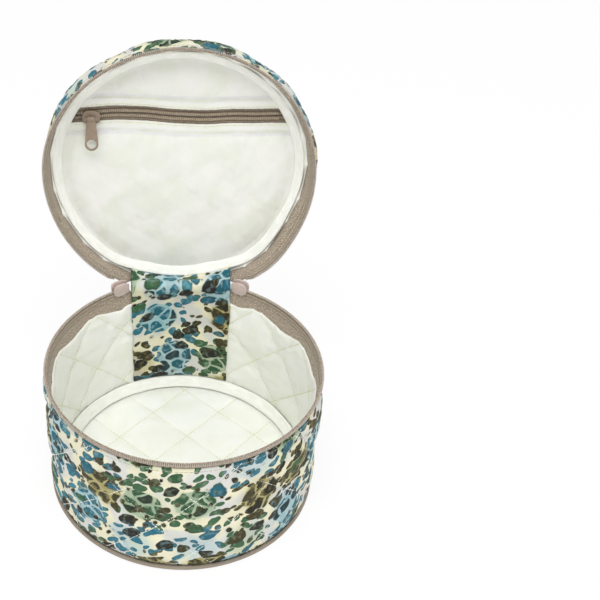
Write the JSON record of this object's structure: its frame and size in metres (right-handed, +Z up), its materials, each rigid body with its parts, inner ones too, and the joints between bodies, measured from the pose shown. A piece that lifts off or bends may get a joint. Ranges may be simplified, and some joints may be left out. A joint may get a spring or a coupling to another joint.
{
  "type": "zip case",
  "caption": "Round quilted fabric case for sewing notions, with a padded lid on a fabric hinge, a rim zip with paired sliders and a zipped pocket inside the lid.",
  "frame": {"origin": "centre of the flat underside of the base, on the surface the case stands on", "axes": "+Z up, +Y towards the fabric hinge at the back, +X to the right as seen from the front, where the pocket's slider is parked at the left"},
  "size_m": [0.182, 0.2213, 0.2682],
  "materials": {
    "printed_cotton": "quilted watercolour print in teal, green and olive on cream",
    "lining_nylon": "plain woven, cream white",
    "binding_cotton": "bias binding, cream white",
    "wadding": "soft padding, never seen",
    "piping_twill": "taupe twill",
    "zip_tape": "taupe woven zip tape",
    "zip_coil": "satin nylon coil",
    "slider_paint": "semi-gloss pale mauve taupe",
    "pocket_slider_paint": "semi-gloss taupe"
  },
  "bodies": {
    "tub": {"base_outer_panel": "printed_cotton", "base_foam": "wadding", "base_lining": "lining_nylon", "base_piping_cover": "piping_twill", "base_piping_core": "wadding", "base_seam_binding": "binding_cotton", "wall_outer_panel": "printed_cotton", "wall_foam": "wadding", "wall_lining": "lining_nylon", "tub_zip_tape": "zip_tape", "tub_zip_coil": "zip_coil", "hinge_panel_lower": "printed_cotton", "hinge_tab_lower": "printed_cotton"},
    "lid": {"lid_outer_panel": "printed_cotton", "lid_foam": "wadding", "lid_gusset_outer": "printed_cotton", "lid_gusset_foam": "wadding", "lid_gusset_lining": "lining_nylon", "lid_seam_binding": "binding_cotton", "lid_zip_tape": "zip_tape", "lid_zip_coil": "zip_coil", "hinge_panel_upper": "printed_cotton", "hinge_tab_upper": "printed_cotton", "lid_lining_upper": "lining_nylon", "lid_lining_lower": "lining_nylon", "pocket_back_lining": "lining_nylon", "pocket_zip_tape_upper": "zip_tape", "pocket_zip_tape_lower": "zip_tape", "pocket_zip_coil_upper": "zip_coil", "pocket_zip_coil_lower": "zip_coil"},
    "left_slider": {"left_slider": "slider_paint"},
    "right_slider": {"right_slider": "slider_paint"},
    "left_pull": {"left_pull": "slider_paint"},
    "right_pull": {"right_pull": "slider_paint"},
    "pocket_slider": {"pocket_slider": "pocket_slider_paint"},
    "pocket_pull": {"pocket_pull": "pocket_slider_paint"}
  },
  "joints": [
    {"name": "lid_hinge", "type": "hinge", "parent": "tub", "child": "lid", "pos_m": [0, 0.081, 0.098], "axis": [-1, 0, 0], "range_deg": [-98, 10]},
    {"name": "left_slider_travel", "type": "hinge", "parent": "tub", "child": "left_slider", "pos_m": [0, 0, 0.098], "axis": [0, 0, 1], "range_deg": [0, 147]},
    {"name": "right_slider_travel", "type": "hinge", "parent": "tub", "child": "right_slider", "pos_m": [0, 0, 0.098], "axis": [0, 0, -1], "range_deg": [0, 147]},
    {"name": "left_pull_swing", "type": "hinge", "parent": "left_slider", "child": "left_pull", "pos_m": [-0.04456, 0.08356, 0.098], "axis": [0.8824, 0.4706, 0], "range_deg": [0, 85]},
    {"name": "right_pull_swing", "type": "hinge", "parent": "right_slider", "child": "right_pull", "pos_m": [0.04456, 0.08356, 0.098], "axis": [0.8824, -0.4706, 0], "range_deg": [0, 85]},
    {"name": "pocket_slider_travel", "type": "slide", "parent": "lid", "child": "pocket_slider", "axis": [1, 0, 0], "range_m": [0, 0.1188]},
    {"name": "pocket_pull_swing", "type": "hinge", "parent": "pocket_slider", "child": "pocket_pull", "pos_m": [-0.05945, 0.11107, 0.21425], "axis": [-1, 0, 0], "range_deg": [0, 150]}
  ]
}
